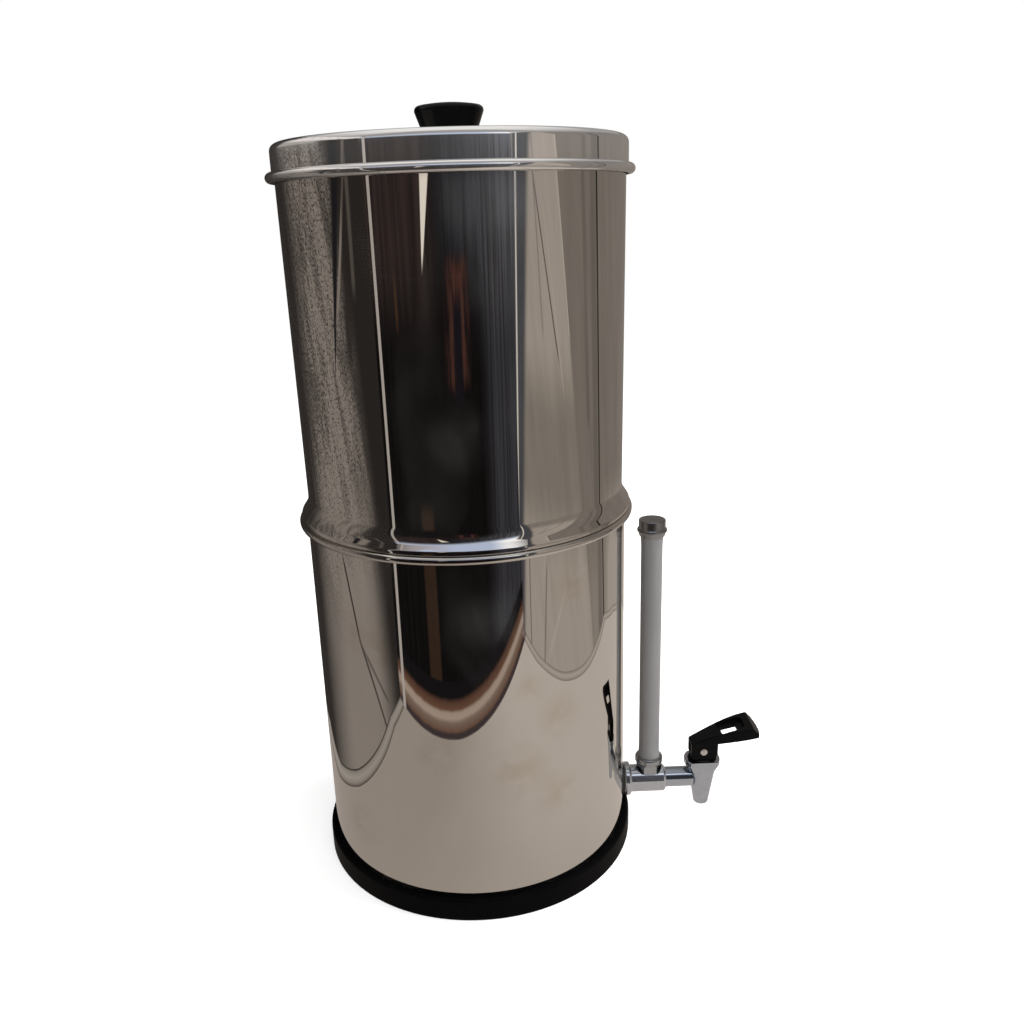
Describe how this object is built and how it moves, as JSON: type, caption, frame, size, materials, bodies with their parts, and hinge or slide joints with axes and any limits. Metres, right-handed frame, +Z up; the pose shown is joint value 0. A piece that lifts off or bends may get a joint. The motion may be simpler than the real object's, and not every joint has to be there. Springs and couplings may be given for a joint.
{
  "type": "gravity water filter with tap",
  "caption": "Free-standing gravity water filter of polished stainless steel: stacked chambers with ceramic candles, sight tube and press tap with black lever.",
  "frame": {"origin": "centre of the base ring's underside, on the surface that the filter stands on", "axes": "+Z up along the chambers' common axis, the tap points along -Y, +X to the right of somebody who faces the tap from behind the filter"},
  "size_m": [0.2274, 0.3242, 0.509],
  "materials": {
    "polished_steel": "stainless steel sheet, mirror polished, with faint haze and wipe marks",
    "bright_fitting": "stainless steel, turned and polished",
    "satin_steel": "stainless steel, cast and satin ground",
    "dark_satin_steel": "stainless steel, turned, darker satin",
    "sight_tube": "clear tube, slightly misted",
    "black_rubber": "matte black, fine grain",
    "black_plastic": "black moulded plastic, satin",
    "black_gloss": "black moulded plastic, glossy",
    "white_plastic": "white moulded plastic, smooth",
    "silicone": "milky silicone",
    "dark_seal": "dark ring seal",
    "candle_ceramic": "unglazed fine-pored ceramic, off-white",
    "carbon": "pressed carbon granules"
  },
  "bodies": {
    "base": {"base_ring": "black_rubber", "lower_chamber": "polished_steel", "outer_seal": "dark_seal", "inner_seal": "silicone", "back_nut": "satin_steel", "gauge_tee": "bright_fitting", "gauge_socket": "satin_steel", "gauge_nut": "satin_steel", "gauge_seal": "dark_seal", "gauge_tube": "sight_tube", "tap_body": "satin_steel", "tap_seal": "dark_seal", "stem_guide": "black_plastic", "stem_seal": "dark_seal"},
    "gauge_cap": {"gauge_cap": "dark_satin_steel"},
    "swivel": {"slip_washer": "white_plastic"},
    "valve": {"valve_stem": "satin_steel", "valve_plug": "silicone", "valve_spring": "satin_steel"},
    "lever": {"lever": "black_plastic", "lever_pin": "bright_fitting"},
    "upper": {"upper_chamber": "polished_steel", "candle_shell_left": "candle_ceramic", "candle_shell_right": "candle_ceramic", "candle_core_left": "carbon", "candle_core_right": "carbon", "candle_base_left": "white_plastic", "candle_base_right": "white_plastic", "candle_seal_left": "silicone", "candle_seal_right": "silicone", "candle_nut_left": "white_plastic", "candle_nut_right": "white_plastic"},
    "lid": {"lid": "polished_steel", "knob": "black_gloss", "knob_screw": "bright_fitting", "knob_washer": "bright_fitting"}
  },
  "joints": [
    {"name": "upper_lift", "type": "slide", "parent": "base", "child": "upper", "axis": [0, 0, 1], "range_m": [0, 0.08]},
    {"name": "lid_lift", "type": "slide", "parent": "upper", "child": "lid", "axis": [0, 0, 1], "range_m": [0, 0.08]},
    {"name": "cap_pull", "type": "slide", "parent": "base", "child": "gauge_cap", "axis": [0, 0, 1], "range_m": [0, 0.03]},
    {"name": "lever_swivel", "type": "hinge", "parent": "base", "child": "swivel", "pos_m": [0, -0.1691, 0.0462], "axis": [0, 0, 1], "range_deg": [-135, 135]},
    {"name": "stem_lift", "type": "slide", "parent": "swivel", "child": "valve", "axis": [0, 0, 1], "range_m": [0, 0.0021], "stiffness_N_per_m": 300, "springref_m": -0.003, "deforming": ["valve_spring"]},
    {"name": "lever_press", "type": "hinge", "parent": "valve", "child": "lever", "pos_m": [0, -0.1691, 0.0539], "axis": [1, 0, 0], "range_deg": [0, 30]}
  ],
  "couplings": [
    {"joint": "lever_press", "follows": "stem_lift", "rad_per_m": 249.33}
  ]
}
